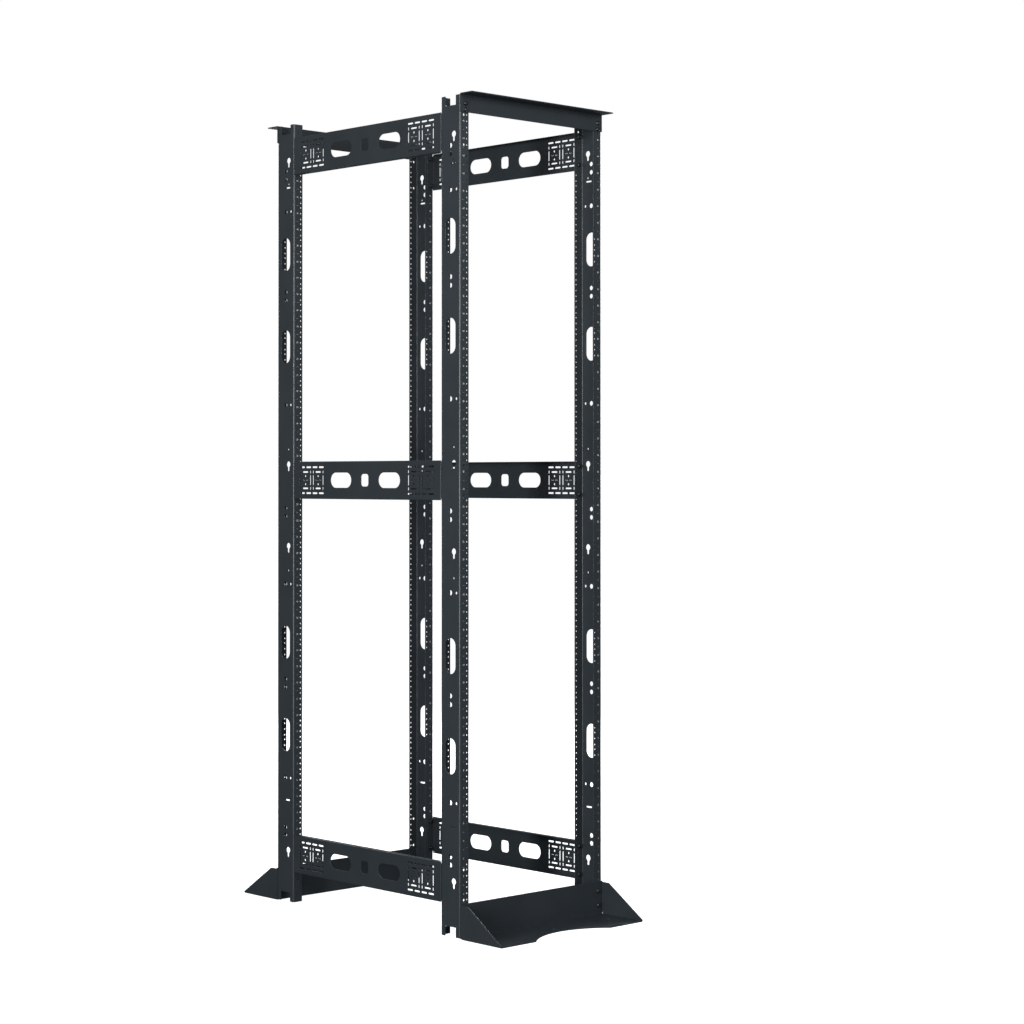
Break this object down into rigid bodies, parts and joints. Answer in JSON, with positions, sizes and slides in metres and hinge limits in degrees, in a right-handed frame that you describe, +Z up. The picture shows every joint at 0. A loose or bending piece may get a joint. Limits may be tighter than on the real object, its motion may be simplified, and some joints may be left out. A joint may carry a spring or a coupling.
{
  "type": "open-frame server rack",
  "caption": "Tall open-frame rack of perforated channel posts, bolted to folded headers, wide gusseted feet and slotted side braces.",
  "frame": {"origin": "on the floor, under the middle of the rack", "axes": "+Z up, -Y towards the front where equipment goes in, +X to the right seen from the front"},
  "size_m": [0.5144, 1.045, 2.1396],
  "materials": {
    "post_sheet": "black powder coat, semi-matte",
    "header_sheet": "black powder coat, semi-matte",
    "foot_sheet": "black powder coat, semi-matte",
    "brace_sheet": "black powder coat, semi-matte",
    "fasteners": "black zinc"
  },
  "bodies": {
    "root": {"brace_left_bottom": "brace_sheet", "brace_left_bottom_bolts": "fasteners", "brace_left_bottom_nuts": "fasteners", "brace_left_bottom_washers": "fasteners", "brace_left_middle": "brace_sheet", "brace_left_middle_bolts": "fasteners", "brace_left_middle_nuts": "fasteners", "brace_left_middle_washers": "fasteners", "brace_left_top": "brace_sheet", "brace_left_top_bolts": "fasteners", "brace_left_top_nuts": "fasteners", "brace_left_top_washers": "fasteners", "brace_right_bottom": "brace_sheet", "brace_right_bottom_bolts": "fasteners", "brace_right_bottom_nuts": "fasteners", "brace_right_bottom_washers": "fasteners", "brace_right_middle": "brace_sheet", "brace_right_middle_bolts": "fasteners", "brace_right_middle_nuts": "fasteners", "brace_right_middle_washers": "fasteners", "brace_right_top": "brace_sheet", "brace_right_top_bolts": "fasteners", "brace_right_top_nuts": "fasteners", "brace_right_top_washers": "fasteners", "foot_front": "foot_sheet", "foot_front_bolts": "fasteners", "foot_front_nuts": "fasteners", "foot_front_washers": "fasteners", "foot_rear": "foot_sheet", "foot_rear_bolts": "fasteners", "foot_rear_nuts": "fasteners", "foot_rear_washers": "fasteners", "header_front": "header_sheet", "header_front_bolts": "fasteners", "header_front_nuts": "fasteners", "header_front_washers": "fasteners", "header_rear": "header_sheet", "header_rear_bolts": "fasteners", "header_rear_nuts": "fasteners", "header_rear_washers": "fasteners", "post_front_left": "post_sheet", "post_front_right": "post_sheet", "post_rear_left": "post_sheet", "post_rear_right": "post_sheet"}
  },
  "joints": []
}
